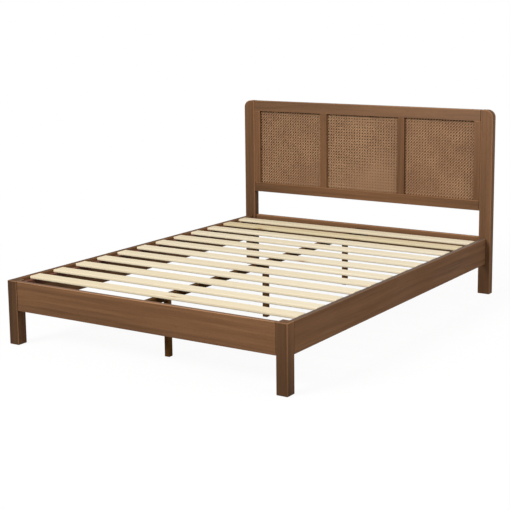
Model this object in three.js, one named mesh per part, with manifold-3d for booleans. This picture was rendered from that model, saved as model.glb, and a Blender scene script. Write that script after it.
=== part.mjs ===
// Wooden platform bed with a three-panel woven cane headboard, in millimetres.
// The origin lies on the floor under the middle of the bed. +X is the right side seen
// from the foot, +Y runs from the foot to the headboard and +Z is up.

import * as THREE from 'three';
import { mergeVertices } from 'three/addons/utils/BufferGeometryUtils.js';
import Module from 'manifold-3d';

const wasm = await Module();
wasm.setup();

// Overall frame
const FRAME_WIDTH = 1585;            // over the outer faces of the side rails
const FRAME_LENGTH = 2110;           // front of the foot rail to the front of the head posts
const DECK_HEIGHT = 316;             // top of the rails and of the slats
const HEADBOARD_HEIGHT = 1035;
const HEADBOARD_OVERHANG = 26;       // head post standing out past each side rail

// Fits and edges
const JOINT_GAP = 0.3;               // glue line or rest gap between two pieces
const CUT_PAST = 1;                  // a cut runs this far past the face it opens
const EDGE_EASE = 3;                 // rounded edge on posts and rails
const THIN_EASE = 1.5;               // rounded edge on stiles, ledgers and beam
const SLAT_EASE = 5;                 // rounded edge on the slats
const EASE_STEPS = 2;                // flat facets in a rounded edge
const BEVEL_MARGIN = 1.3;            // edge radius for each unit of end bevel
const ROUND_STEPS = 12;              // facets round a bolt or bolt hole
const SCREW_HOLE_STEPS = 8;          // facets round a screw hole
const HEX_STEPS = 6;                 // sides of a hex socket
const WELD = 1e-4;                   // vertices closer than this are one

// Side rails, foot rail and foot posts
const RAIL_HEIGHT = 145;
const RAIL_THICKNESS = 24;
const RAIL_END_EASE = 2;             // eased end that leaves a fine groove at the post
const FOOT_POST_SIZE = 57;
const FOOT_TENON_HEIGHT = 100;

// Tenons
const TENON_LENGTH = 24;
const TENON_THICKNESS = 12;
const TENON_SHOULDER = 12;           // rail height left above and below a tenon

// Head posts and cross rail
const HEAD_POST_WIDTH = 70;
const HEAD_POST_DEPTH = 44;
const HEAD_CORNER_RADIUS = 42;
const CORNER_STEPS = 10;             // facets round the top corner
const CROSS_RAIL_TOP = 322;
const CROSS_RAIL_HEIGHT = 120;
const CROSS_RAIL_SETBACK = 12;       // behind the front of the head posts
const CROSS_TENON_HEIGHT = 40;

// Headboard frame
const TOP_RAIL_HEIGHT = 64;
const BOTTOM_RAIL_HEIGHT = 57;
const BOTTOM_RAIL_UNDERSIDE = 471;   // above the floor
const RAIL_REVEAL = 2;               // rails behind the front of the head posts
const RAIL_DEPTH = 32;
const STILE_REVEAL = 3;              // stiles and mullions behind the head posts
const STILE_DEPTH = 30;
const STILE_WIDTH = 39.5;
const MULLION_WIDTH = 43;
const CENTRE_WINDOW_WIDTH = 471;

// Cane webbing and the boards behind it
const CANE_RECESS = 14;              // behind the front of the stiles
const CANE_THICKNESS = 2.4;
const CANE_GAPS = 10;                // open squares along each side of a panel
const CANE_BAND = 20;                // band of strands between two open squares
const BACKING_THICKNESS = 5;
const GROOVE_DEPTH = 8;              // panel groove round each window
const PANEL_PLAY = 0.5;              // panel edge to the bottom of its groove

// Slats and ledgers
const SLAT_COUNT = 12;
const SLAT_WIDTH = 72;
const SLAT_THICKNESS = 15;
const SLAT_END_CLEARANCE = 2;        // slat end to the side rail
const END_SLAT_SPACE = 102;          // first and last slat to the end rails
const LEDGER_WIDTH = 28;
const LEDGER_HEIGHT = 30;

// Centre beam and its legs
const BEAM_WIDTH = 27;
const BEAM_HEIGHT = 30;
const CENTRE_LEG_SIZE = 27;
const CENTRE_LEG_EASE = 2;
const END_LEG_SETBACK = 203;         // leg axis to the nearer end rail
const MIDDLE_LEG_SETBACK = 1044;     // leg axis behind the inner face of the foot rail

// Steel hangers that carry the ends of the centre beam
const HANGER_STEEL = 2.5;
const HANGER_REACH = 35;             // along the beam
const HANGER_CHEEK = 22;             // height of the sides that hold the beam
const HANGER_PLATE_WIDTH = 76;
const HANGER_PLATE_HEIGHT = 44;
const HANGER_SCREW_HOLE = 5;

// Steel angles between the side rails and the foot posts
const BRACKET_STEEL = 3;
const BRACKET_HEIGHT = 80;
const BRACKET_LIFT = 14;             // above the lower edge of the rail
const BRACKET_RAIL_LEG = 60;
const BRACKET_POST_LEG = 31;
const BRACKET_CORNER_RADIUS = 5;
const BRACKET_BOLT_INSET = 18;       // bolt axis inside the inner face of the side rail
const BRACKET_BOLT_HEIGHTS = [34, 74];   // above the lower edge of the rail
const BRACKET_BOLT_BITE = 24;        // bolt length inside the post
const BRACKET_SCREW_HOLE = 5;
const BRACKET_SCREW_PLACES = [26, 48];   // from the corner of the angle

// Bolts and barrel nuts between the side rails and the head posts
const HEAD_BOLT_HEIGHTS = [32, 79];  // above the lower edge of the rail
const HEAD_BOLT_BITE = 56;           // bolt length inside the rail
const COUNTERBORE_DEPTH = 8;
const COUNTERBORE_PLAY = 1;          // round the bolt head
const BARREL_RADIUS = 6;
const BARREL_LENGTH = 18;
const BARREL_DISTANCE = 42;          // barrel axis from the end of the rail
const FRAME_BOLT = {
  radius: 4,
  headRadius: 7,
  headHeight: 6,
  socketRadius: 3.4,
  socketDepth: 3.5,
};

// Bolts that hold the centre legs under the beam
const LEG_BOLT_BITE = 34;            // bolt length inside the leg
const LEG_BOLT_SINK = 0.7;           // bolt head below the top of the beam
const LEG_BOLT = {
  radius: 3,
  headRadius: 5.5,
  headHeight: 4,
  socketRadius: 2.4,
  socketDepth: 2.5,
};

// Places worked out from the sizes above
const BED_LENGTH = FRAME_LENGTH + HEAD_POST_DEPTH;
const FOOT_FACE = -BED_LENGTH / 2;
const HEAD_FACE = FOOT_FACE + FRAME_LENGTH;
const RAIL_OUTSIDE = FRAME_WIDTH / 2;
const RAIL_INSIDE = RAIL_OUTSIDE - RAIL_THICKNESS;
const RAIL_MIDDLE = (RAIL_OUTSIDE + RAIL_INSIDE) / 2;
const RAIL_BOTTOM = DECK_HEIGHT - RAIL_HEIGHT;
const RAIL_START = FOOT_FACE + FOOT_POST_SIZE + JOINT_GAP;
const RAIL_END = HEAD_FACE - JOINT_GAP;
const FOOT_POST_INSIDE = RAIL_OUTSIDE - FOOT_POST_SIZE;
const HEAD_POST_OUTSIDE = RAIL_OUTSIDE + HEADBOARD_OVERHANG;
const HEAD_POST_INSIDE = HEAD_POST_OUTSIDE - HEAD_POST_WIDTH;
const SUPPORT_TOP = DECK_HEIGHT - SLAT_THICKNESS - JOINT_GAP;
const DECK_START = FOOT_FACE + RAIL_THICKNESS;
const DECK_END = HEAD_FACE + CROSS_RAIL_SETBACK;

const SIDES = [['left', -1], ['right', 1]];
const ROWS = ['lower', 'upper'];

// Finishes seen on the bed
const FINISHES = {
  walnut: { color: 0x75543a, roughness: 0.55, metalness: 0 },
  slat: { color: 0xe9dabb, roughness: 0.7, metalness: 0 },
  cane: { color: 0x9c7a5a, roughness: 0.6, metalness: 0 },
  darkWood: { color: 0x3a2413, roughness: 0.6, metalness: 0 },
  steel: { color: 0xa7a9ab, roughness: 0.35, metalness: 1 },
};

// Spans are [low, high] pairs along one axis.

function centred(middle, size) {
  return [middle - size / 2, middle + size / 2];
}

function widened([low, high], gap) {
  return [low - gap, high + gap];
}

// Span between two distances from the middle plane, on the side given by its sign
function onSide(side, near, far) {
  return side > 0 ? [near, far] : [-far, -near];
}

// Solids

function solid(geometry) {
  const bare = geometry.clone();
  bare.deleteAttribute('normal');
  bare.deleteAttribute('uv');
  const merged = mergeVertices(bare, WELD);
  return new wasm.Manifold(new wasm.Mesh({
    numProp: 3,
    vertProperties: new Float32Array(merged.attributes.position.array),
    triVerts: new Uint32Array(merged.index.array),
  }));
}

function mesh(name, body, finish) {
  const faces = body.getMesh();
  const geometry = new THREE.BufferGeometry();
  geometry.setAttribute('position', new THREE.BufferAttribute(faces.vertProperties, 3));
  geometry.setIndex(new THREE.BufferAttribute(faces.triVerts, 1));
  geometry.computeVertexNormals();
  const piece = new THREE.Mesh(geometry, new THREE.MeshStandardMaterial(FINISHES[finish]));
  piece.name = name;
  return piece;
}

function placed(piece, x, y, z) {
  piece.position.set(x, y, z);
  return piece;
}

function block([x0, x1], [y0, y1], [z0, z1]) {
  const geometry = new THREE.BoxGeometry(x1 - x0, y1 - y0, z1 - z0);
  geometry.translate((x0 + x1) / 2, (y0 + y1) / 2, (z0 + z1) / 2);
  return solid(geometry);
}

function fourCorners(value) {
  return [value, value, value, value];
}

// Rectangle with round corners, as a closed outline. The corners come in the order low u
// low v, high u low v, high u high v and low u high v.
function roundedRectangle([u0, u1], [v0, v1], [a, b, c, d], steps = fourCorners(EASE_STEPS)) {
  const corners = [
    [u0 + a, v0 + a, a, Math.PI],
    [u1 - b, v0 + b, b, Math.PI * 1.5],
    [u1 - c, v1 - c, c, 0],
    [u0 + d, v1 - d, d, Math.PI / 2],
  ];
  const points = corners.flatMap(([u, v, radius, start], corner) => {
    if (radius === 0) return [new THREE.Vector2(u, v)];
    const arc = new THREE.EllipseCurve(u, v, radius, radius, start, start + Math.PI / 2);
    return arc.getPoints(steps[corner]);
  });
  return new THREE.Shape(points);
}

// Directions of an outline's two axes and of its extrusion
const EXTRUSION_AXES = {
  x: [new THREE.Vector3(0, 1, 0), new THREE.Vector3(0, 0, 1), new THREE.Vector3(1, 0, 0)],
  y: [new THREE.Vector3(1, 0, 0), new THREE.Vector3(0, 0, 1), new THREE.Vector3(0, -1, 0)],
  z: [new THREE.Vector3(1, 0, 0), new THREE.Vector3(0, 1, 0), new THREE.Vector3(0, 0, 1)],
};

// Extrudes an outline over a span of an axis. A bevel rounds both end faces inside the
// outline and inside that span.
function extrude(axis, shape, [start, end], bevel = 0) {
  const geometry = new THREE.ExtrudeGeometry(shape, {
    depth: end - start - 2 * bevel,
    bevelEnabled: bevel > 0,
    bevelThickness: bevel,
    bevelSize: bevel,
    bevelOffset: -bevel,
    bevelSegments: EASE_STEPS,
  });
  geometry.translate(0, 0, axis === 'y' ? bevel - end : start + bevel);
  geometry.applyMatrix4(new THREE.Matrix4().makeBasis(...EXTRUSION_AXES[axis]));
  return solid(geometry);
}

// Bar with its long edges eased. Where its ends are eased too, the long edges keep a
// little more radius than the bevel takes away.
function bar(axis, u, v, length, ease, bevel = 0) {
  const radius = Math.max(ease, bevel * BEVEL_MARGIN);
  return extrude(axis, roundedRectangle(u, v, fourCorners(radius)), length, bevel);
}

// Round rod along an axis through the point (u, v) of the plane across it
function rod(axis, [u, v], radius, [start, end], sides = ROUND_STEPS) {
  const geometry = new THREE.CylinderGeometry(radius, radius, end - start, sides);
  const middle = (start + end) / 2;
  if (axis === 'x') geometry.rotateZ(Math.PI / 2).translate(middle, u, v);
  if (axis === 'y') geometry.translate(u, middle, v);
  if (axis === 'z') geometry.rotateX(Math.PI / 2).translate(u, v, middle);
  return solid(geometry);
}

// Socket-head bolt on the y axis. Its head lies just below y = 0 and its shank points
// to -Y.
function socketBolt({ radius, headRadius, headHeight, socketRadius, socketDepth }, length) {
  const profile = [
    [0, -headHeight - length],
    [radius, -headHeight - length],
    [radius, -headHeight],
    [headRadius, -headHeight],
    [headRadius, 0],
    [0, 0],
  ];
  const points = profile.map(([distance, height]) => new THREE.Vector2(distance, height));
  return solid(new THREE.LatheGeometry(points, ROUND_STEPS))
    .subtract(rod('y', [0, 0], socketRadius, [-socketDepth, CUT_PAST], HEX_STEPS));
}

// Headboard, drawn with y = 0 on the front of its posts

const FIELD_BOTTOM = BOTTOM_RAIL_UNDERSIDE + BOTTOM_RAIL_HEIGHT;
const FIELD_TOP = HEADBOARD_HEIGHT - TOP_RAIL_HEIGHT;
const FIELD_HEIGHT = FIELD_TOP - FIELD_BOTTOM;
const MULLION_CENTRE = (CENTRE_WINDOW_WIDTH + MULLION_WIDTH) / 2;
const SIDE_WINDOW = [MULLION_CENTRE + MULLION_WIDTH / 2, HEAD_POST_INSIDE - STILE_WIDTH];

const CANE_Y = [STILE_REVEAL + CANE_RECESS, STILE_REVEAL + CANE_RECESS + CANE_THICKNESS];
const BACKING_Y = [CANE_Y[1] + JOINT_GAP, CANE_Y[1] + JOINT_GAP + BACKING_THICKNESS];
const GROOVE_Y = [CANE_Y[0] - JOINT_GAP, BACKING_Y[1] + JOINT_GAP];
const PANEL_RIM = GROOVE_DEPTH - PANEL_PLAY;

// Each cross rail: its span in depth and height, its tenon's, and its panel groove's height
const TOP_RAIL = {
  y: [RAIL_REVEAL, RAIL_REVEAL + RAIL_DEPTH],
  z: [FIELD_TOP, HEADBOARD_HEIGHT],
  tenonZ: [FIELD_TOP + TENON_SHOULDER, HEADBOARD_HEIGHT - TENON_SHOULDER],
  grooveZ: [FIELD_TOP - CUT_PAST, FIELD_TOP + GROOVE_DEPTH],
};
const BOTTOM_RAIL = {
  y: TOP_RAIL.y,
  z: [BOTTOM_RAIL_UNDERSIDE, FIELD_BOTTOM],
  tenonZ: [BOTTOM_RAIL_UNDERSIDE + TENON_SHOULDER, FIELD_BOTTOM - TENON_SHOULDER],
  grooveZ: [FIELD_BOTTOM - GROOVE_DEPTH, FIELD_BOTTOM + CUT_PAST],
};
const CROSS_RAIL = {
  y: [CROSS_RAIL_SETBACK, CROSS_RAIL_SETBACK + RAIL_THICKNESS],
  z: [CROSS_RAIL_TOP - CROSS_RAIL_HEIGHT, CROSS_RAIL_TOP],
  tenonZ: [CROSS_RAIL_TOP - TENON_SHOULDER - CROSS_TENON_HEIGHT, CROSS_RAIL_TOP - TENON_SHOULDER],
};

function tenonDepth([y0, y1]) {
  return centred((y0 + y1) / 2, TENON_THICKNESS);
}

function headPost(name, side) {
  const radii = fourCorners(EDGE_EASE * BEVEL_MARGIN);
  const steps = fourCorners(EASE_STEPS);
  const topCorner = side > 0 ? 2 : 3;
  radii[topCorner] = HEAD_CORNER_RADIUS;
  steps[topCorner] = CORNER_STEPS;
  const width = onSide(side, HEAD_POST_INSIDE, HEAD_POST_OUTSIDE);
  const outline = roundedRectangle(width, [0, HEADBOARD_HEIGHT], radii, steps);
  let post = extrude('y', outline, [0, HEAD_POST_DEPTH], EDGE_EASE);

  const mortise = onSide(side, HEAD_POST_INSIDE - CUT_PAST, HEAD_POST_INSIDE + TENON_LENGTH + JOINT_GAP);
  for (const { y, tenonZ } of [TOP_RAIL, BOTTOM_RAIL, CROSS_RAIL]) {
    post = post.subtract(block(mortise, widened(tenonDepth(y), JOINT_GAP), widened(tenonZ, JOINT_GAP)));
  }
  for (const height of HEAD_BOLT_HEIGHTS) {
    const axis = [side * RAIL_MIDDLE, RAIL_BOTTOM + height];
    const back = HEAD_POST_DEPTH + CUT_PAST;
    const hole = rod('y', axis, FRAME_BOLT.radius + JOINT_GAP, [-CUT_PAST, back]);
    const counterbore = rod('y', axis, FRAME_BOLT.headRadius + COUNTERBORE_PLAY,
      [HEAD_POST_DEPTH - COUNTERBORE_DEPTH, back]);
    post = post.subtract(hole).subtract(counterbore);
  }
  return mesh(name, post, 'walnut');
}

// Rail between the head posts, with a tenon on each end and room for the panels
function headRail(name, { y, z, tenonZ, grooveZ }) {
  const half = HEAD_POST_INSIDE - JOINT_GAP;
  const tip = HEAD_POST_INSIDE + TENON_LENGTH;
  let rail = bar('x', y, z, [-half, half], EDGE_EASE)
    .add(block([-tip, tip], tenonDepth(y), tenonZ));
  if (grooveZ) {
    rail = rail.subtract(block(widened([-half, half], CUT_PAST), GROOVE_Y, grooveZ));
  }
  return mesh(name, rail, 'walnut');
}

// Stile or mullion between the two rails, with a stub tenon in each rail's groove. It is
// grooved for the panels on each side in the list, -1 for left and 1 for right.
function headUpright(name, x, groovedSides) {
  const y = [STILE_REVEAL, STILE_REVEAL + STILE_DEPTH];
  const z = widened([FIELD_BOTTOM, FIELD_TOP], -JOINT_GAP);
  const stub = widened([FIELD_BOTTOM, FIELD_TOP], PANEL_RIM);
  let upright = bar('z', x, y, z, THIN_EASE).add(block(x, [CANE_Y[0], BACKING_Y[1]], stub));
  for (const side of groovedSides) {
    const groove = side > 0 ? [x[1] - GROOVE_DEPTH, x[1] + CUT_PAST] : [x[0] - CUT_PAST, x[0] + GROOVE_DEPTH];
    upright = upright.subtract(block(groove, GROOVE_Y, widened(stub, CUT_PAST)));
  }
  return mesh(name, upright, 'walnut');
}

// Span of a panel across its window, with the rims that stand in the grooves
function panelSpan(opening) {
  return widened([-opening / 2, opening / 2], PANEL_RIM);
}

// Net of cane bands, drawn round the middle of its window
function caneNet(name, width, height) {
  const sheet = block(panelSpan(width), CANE_Y, panelSpan(height));
  const pitchX = width / CANE_GAPS;
  const pitchZ = height / CANE_GAPS;
  const gaps = [];
  for (let column = 0; column < CANE_GAPS; column += 1) {
    for (let row = 0; row < CANE_GAPS; row += 1) {
      const x = centred((column + 0.5) * pitchX - width / 2, pitchX - CANE_BAND);
      const z = centred((row + 0.5) * pitchZ - height / 2, pitchZ - CANE_BAND);
      gaps.push(block(x, widened(CANE_Y, CUT_PAST), z));
    }
  }
  return mesh(name, wasm.Manifold.difference([sheet, ...gaps]), 'cane');
}

function backingBoard(name, width, height) {
  return mesh(name, block(panelSpan(width), BACKING_Y, panelSpan(height)), 'walnut');
}

function makeHeadboard() {
  const group = new THREE.Group();
  group.position.y = HEAD_FACE;
  group.add(headRail('headboard_top_rail', TOP_RAIL));
  group.add(headRail('headboard_bottom_rail', BOTTOM_RAIL));
  group.add(headRail('head_cross_rail', CROSS_RAIL));
  for (const [label, side] of SIDES) {
    const stile = onSide(side, SIDE_WINDOW[1], HEAD_POST_INSIDE - JOINT_GAP);
    const mullion = centred(side * MULLION_CENTRE, MULLION_WIDTH);
    group.add(headPost(`head_post_${label}`, side));
    group.add(headUpright(`headboard_stile_${label}`, stile, [-side]));
    group.add(headUpright(`headboard_mullion_${label}`, mullion, [-1, 1]));
  }

  const sideWidth = SIDE_WINDOW[1] - SIDE_WINDOW[0];
  const sideMiddle = (SIDE_WINDOW[0] + SIDE_WINDOW[1]) / 2;
  const windows = [
    ['left', -sideMiddle, sideWidth],
    ['centre', 0, CENTRE_WINDOW_WIDTH],
    ['right', sideMiddle, sideWidth],
  ];
  const middle = (FIELD_BOTTOM + FIELD_TOP) / 2;
  for (const [label, x, width] of windows) {
    group.add(placed(caneNet(`cane_panel_${label}`, width, FIELD_HEIGHT), x, 0, middle));
    group.add(placed(backingBoard(`backing_board_${label}`, width, FIELD_HEIGHT), x, 0, middle));
  }
  return group;
}

// Footboard, drawn with y = 0 on its front face

const FOOT_TENON_Y = centred(RAIL_THICKNESS / 2, TENON_THICKNESS);
const FOOT_TENON_Z = centred(RAIL_BOTTOM + RAIL_HEIGHT / 2, FOOT_TENON_HEIGHT);
const BRACKET_BOLT_X = RAIL_INSIDE - BRACKET_BOLT_INSET;

function footPost(name, side) {
  const width = onSide(side, FOOT_POST_INSIDE, RAIL_OUTSIDE);
  const mortise = onSide(side, FOOT_POST_INSIDE - CUT_PAST, FOOT_POST_INSIDE + TENON_LENGTH + JOINT_GAP);
  let post = bar('z', width, [0, FOOT_POST_SIZE], [0, DECK_HEIGHT], EDGE_EASE, EDGE_EASE)
    .subtract(block(mortise, widened(FOOT_TENON_Y, JOINT_GAP), widened(FOOT_TENON_Z, JOINT_GAP)));
  const hole = [FOOT_POST_SIZE - BRACKET_BOLT_BITE - CUT_PAST, FOOT_POST_SIZE + CUT_PAST];
  for (const height of BRACKET_BOLT_HEIGHTS) {
    const axis = [side * BRACKET_BOLT_X, RAIL_BOTTOM + height];
    post = post.subtract(rod('y', axis, FRAME_BOLT.radius + JOINT_GAP, hole));
  }
  return mesh(name, post, 'walnut');
}

function footRail(name) {
  const half = FOOT_POST_INSIDE - JOINT_GAP;
  const tip = FOOT_POST_INSIDE + TENON_LENGTH;
  const depth = [0, RAIL_THICKNESS];
  const height = [RAIL_BOTTOM, DECK_HEIGHT];
  const rail = bar('x', depth, height, [-half, half], EDGE_EASE, RAIL_END_EASE)
    .add(block([-tip, tip], FOOT_TENON_Y, FOOT_TENON_Z));
  return mesh(name, rail, 'walnut');
}

function makeFootboard() {
  const group = new THREE.Group();
  group.position.y = FOOT_FACE;
  group.add(footRail('foot_rail'));
  for (const [label, side] of SIDES) group.add(footPost(`foot_post_${label}`, side));
  return group;
}

// Side rails, their ledgers and the hardware at their two ends

function sideRail(name, side) {
  const width = onSide(side, RAIL_INSIDE, RAIL_OUTSIDE);
  let rail = bar('y', width, [RAIL_BOTTOM, DECK_HEIGHT], [RAIL_START, RAIL_END], EDGE_EASE, RAIL_END_EASE);
  const boltSpan = [RAIL_END - HEAD_BOLT_BITE - CUT_PAST, RAIL_END + CUT_PAST];
  const barrelSpan = onSide(side, RAIL_INSIDE - CUT_PAST, RAIL_INSIDE + BARREL_LENGTH + JOINT_GAP);
  for (const height of HEAD_BOLT_HEIGHTS) {
    const z = RAIL_BOTTOM + height;
    const boltHole = rod('y', [side * RAIL_MIDDLE, z], FRAME_BOLT.radius + JOINT_GAP, boltSpan);
    const barrelHole = rod('x', [RAIL_END - BARREL_DISTANCE, z], BARREL_RADIUS + JOINT_GAP, barrelSpan);
    rail = rail.subtract(boltHole).subtract(barrelHole);
  }
  return mesh(name, rail, 'walnut');
}

function ledger(name, side) {
  const width = onSide(side, RAIL_INSIDE - JOINT_GAP - LEDGER_WIDTH, RAIL_INSIDE - JOINT_GAP);
  const height = [SUPPORT_TOP - LEDGER_HEIGHT, SUPPORT_TOP];
  return mesh(name, bar('y', width, height, [RAIL_START, RAIL_END], THIN_EASE), 'walnut');
}

// Steel angle with its outer corner on the z axis, one leg on the side rail and the
// other on the back of the foot post
function cornerBracket(name, side) {
  const height = [0, BRACKET_HEIGHT];
  const round = BRACKET_CORNER_RADIUS;
  const railLeg = roundedRectangle([0, BRACKET_RAIL_LEG], height, [0, round, round, 0]);
  const postLeg = roundedRectangle(
    onSide(-side, 0, BRACKET_POST_LEG),
    height,
    side > 0 ? [round, 0, 0, round] : [0, round, round, 0],
  );
  let angle = extrude('x', railLeg, onSide(-side, 0, BRACKET_STEEL))
    .add(extrude('y', postLeg, [0, BRACKET_STEEL]));
  for (const boltHeight of BRACKET_BOLT_HEIGHTS) {
    const z = boltHeight - BRACKET_LIFT;
    const axis = [side * (BRACKET_BOLT_X - RAIL_INSIDE + JOINT_GAP), z];
    const through = widened([0, BRACKET_STEEL], CUT_PAST);
    angle = angle.subtract(rod('y', axis, FRAME_BOLT.radius + JOINT_GAP, through));
    for (const place of BRACKET_SCREW_PLACES) {
      const cut = onSide(-side, ...through);
      angle = angle.subtract(rod('x', [place, z], BRACKET_SCREW_HOLE / 2, cut, SCREW_HOLE_STEPS));
    }
  }
  return mesh(name, angle, 'steel');
}

function footCornerHardware(label, side) {
  const group = new THREE.Group();
  group.position.y = RAIL_START;
  const bracket = cornerBracket(`corner_bracket_${label}`, side);
  group.add(placed(bracket, side * (RAIL_INSIDE - JOINT_GAP), 0, RAIL_BOTTOM + BRACKET_LIFT));
  const underHead = BRACKET_STEEL + JOINT_GAP;
  BRACKET_BOLT_HEIGHTS.forEach((height, row) => {
    const body = socketBolt(FRAME_BOLT, underHead + JOINT_GAP + BRACKET_BOLT_BITE);
    const bolt = mesh(`bracket_bolt_${label}_${ROWS[row]}`, body, 'steel');
    group.add(placed(bolt, side * BRACKET_BOLT_X, underHead + FRAME_BOLT.headHeight, RAIL_BOTTOM + height));
  });
  return group;
}

function barrelNut(name, side) {
  const boltOffset = RAIL_MIDDLE - RAIL_INSIDE - BARREL_LENGTH / 2;
  const barrel = rod('x', [0, 0], BARREL_RADIUS, centred(0, BARREL_LENGTH))
    .subtract(rod('y', [side * boltOffset, 0], FRAME_BOLT.radius + JOINT_GAP,
      widened([-BARREL_RADIUS, BARREL_RADIUS], CUT_PAST)));
  return mesh(name, barrel, 'steel');
}

function headCornerHardware(label, side) {
  const group = new THREE.Group();
  const underHead = HEAD_FACE + HEAD_POST_DEPTH - COUNTERBORE_DEPTH + JOINT_GAP;
  const length = underHead - (RAIL_END - HEAD_BOLT_BITE);
  HEAD_BOLT_HEIGHTS.forEach((height, row) => {
    const z = RAIL_BOTTOM + height;
    const bolt = mesh(`head_bolt_${label}_${ROWS[row]}`, socketBolt(FRAME_BOLT, length), 'steel');
    group.add(placed(bolt, side * RAIL_MIDDLE, underHead + FRAME_BOLT.headHeight, z));
    const nut = barrelNut(`barrel_nut_${label}_${ROWS[row]}`, side);
    group.add(placed(nut, side * (RAIL_INSIDE + BARREL_LENGTH / 2), RAIL_END - BARREL_DISTANCE, z));
  });
  return group;
}

function makeSides() {
  const group = new THREE.Group();
  for (const [label, side] of SIDES) {
    group.add(sideRail(`side_rail_${label}`, side));
    group.add(ledger(`slat_ledger_${label}`, side));
    group.add(footCornerHardware(label, side));
    group.add(headCornerHardware(label, side));
  }
  return group;
}

// Centre beam, its hangers and its legs

const BEAM_SPAN = widened([DECK_START, DECK_END], -(HANGER_STEEL + 2 * JOINT_GAP));
const BEAM_BOTTOM = SUPPORT_TOP - BEAM_HEIGHT;
const CENTRE_LEGS = [
  ['foot', DECK_START + END_LEG_SETBACK],
  ['middle', DECK_START + MIDDLE_LEG_SETBACK],
  ['head', DECK_END - END_LEG_SETBACK],
];
const LEG_BOLT_TOP = SUPPORT_TOP - LEG_BOLT_SINK;
const LEG_BOLT_SEAT = LEG_BOLT_TOP - LEG_BOLT.headHeight;

function centreBeam(name) {
  let beam = bar('y', centred(0, BEAM_WIDTH), [BEAM_BOTTOM, SUPPORT_TOP], BEAM_SPAN, THIN_EASE);
  for (const [, y] of CENTRE_LEGS) {
    const hole = rod('z', [0, y], LEG_BOLT.radius + JOINT_GAP, widened([BEAM_BOTTOM, SUPPORT_TOP], CUT_PAST));
    const counterbore = rod('z', [0, y], LEG_BOLT.headRadius + JOINT_GAP,
      [LEG_BOLT_SEAT - JOINT_GAP, SUPPORT_TOP + CUT_PAST]);
    beam = beam.subtract(hole).subtract(counterbore);
  }
  return mesh(name, beam, 'darkWood');
}

function centreLeg(name) {
  const across = centred(0, CENTRE_LEG_SIZE);
  const top = BEAM_BOTTOM - JOINT_GAP;
  const hole = [top - LEG_BOLT_BITE - CUT_PAST, top + CUT_PAST];
  const leg = bar('z', across, across, [0, top], CENTRE_LEG_EASE, CENTRE_LEG_EASE)
    .subtract(rod('z', [0, 0], LEG_BOLT.radius + JOINT_GAP, hole));
  return mesh(name, leg, 'darkWood');
}

function centreLegBolt(name) {
  const length = LEG_BOLT_SEAT - (BEAM_BOTTOM - JOINT_GAP) + LEG_BOLT_BITE;
  const bolt = mesh(name, socketBolt(LEG_BOLT, length), 'steel');
  bolt.rotation.x = Math.PI / 2;
  return bolt;
}

// Folded steel saddle on a screw plate. The plate's back is on y = 0 and the beam's
// underside on z = 0.
function beamHanger(name) {
  const inside = BEAM_WIDTH / 2 + JOINT_GAP;
  const outside = inside + HANGER_STEEL;
  const saddle = new THREE.Shape([
    [-outside, -JOINT_GAP - HANGER_STEEL],
    [outside, -JOINT_GAP - HANGER_STEEL],
    [outside, HANGER_CHEEK],
    [inside, HANGER_CHEEK],
    [inside, -JOINT_GAP],
    [-inside, -JOINT_GAP],
    [-inside, HANGER_CHEEK],
    [-outside, HANGER_CHEEK],
  ].map(([x, z]) => new THREE.Vector2(x, z)));
  const plateTop = BEAM_HEIGHT - JOINT_GAP;
  const plateZ = [plateTop - HANGER_PLATE_HEIGHT, plateTop];
  const plate = roundedRectangle(centred(0, HANGER_PLATE_WIDTH), plateZ, fourCorners(BRACKET_CORNER_RADIUS));
  let hanger = extrude('y', saddle, [0, HANGER_STEEL + HANGER_REACH])
    .add(extrude('y', plate, [0, HANGER_STEEL]));
  const screwX = (outside + HANGER_PLATE_WIDTH / 2) / 2;
  for (const x of [-screwX, screwX]) {
    for (const z of [plateZ[0] + HANGER_PLATE_HEIGHT / 4, plateZ[1] - HANGER_PLATE_HEIGHT / 4]) {
      const through = widened([0, HANGER_STEEL], CUT_PAST);
      hanger = hanger.subtract(rod('y', [x, z], HANGER_SCREW_HOLE / 2, through, SCREW_HOLE_STEPS));
    }
  }
  return mesh(name, hanger, 'steel');
}

function makeCentreSupport() {
  const group = new THREE.Group();
  group.add(centreBeam('centre_beam'));
  group.add(placed(beamHanger('beam_hanger_foot'), 0, DECK_START + JOINT_GAP, BEAM_BOTTOM));
  const headHanger = placed(beamHanger('beam_hanger_head'), 0, DECK_END - JOINT_GAP, BEAM_BOTTOM);
  headHanger.rotation.z = Math.PI;
  group.add(headHanger);
  for (const [label, y] of CENTRE_LEGS) {
    group.add(placed(centreLeg(`centre_leg_${label}`), 0, y, 0));
    group.add(placed(centreLegBolt(`centre_leg_bolt_${label}`), 0, y, LEG_BOLT_TOP));
  }
  return group;
}

// Slats, evenly spaced from the foot to the head

function makeSlats() {
  const group = new THREE.Group();
  group.position.z = DECK_HEIGHT - SLAT_THICKNESS;
  const half = RAIL_INSIDE - SLAT_END_CLEARANCE;
  const first = DECK_START + END_SLAT_SPACE + SLAT_WIDTH / 2;
  const last = DECK_END - END_SLAT_SPACE - SLAT_WIDTH / 2;
  for (let index = 0; index < SLAT_COUNT; index += 1) {
    const name = `slat_${String(index + 1).padStart(2, '0')}`;
    const slat = bar('x', centred(0, SLAT_WIDTH), [0, SLAT_THICKNESS], [-half, half], SLAT_EASE);
    const y = first + (last - first) * index / (SLAT_COUNT - 1);
    group.add(placed(mesh(name, slat, 'slat'), 0, y, 0));
  }
  return group;
}

const bed = new THREE.Group();
bed.add(makeHeadboard(), makeFootboard(), makeSides(), makeCentreSupport(), makeSlats());

export default bed;
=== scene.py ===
"""Rattan bed: stained frame, woven cane headboard panels, pale slats, steel hardware, studio."""

import math
import random

import bmesh
import bpy
import numpy as np
from mathutils import Euler, Matrix, Vector


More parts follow.
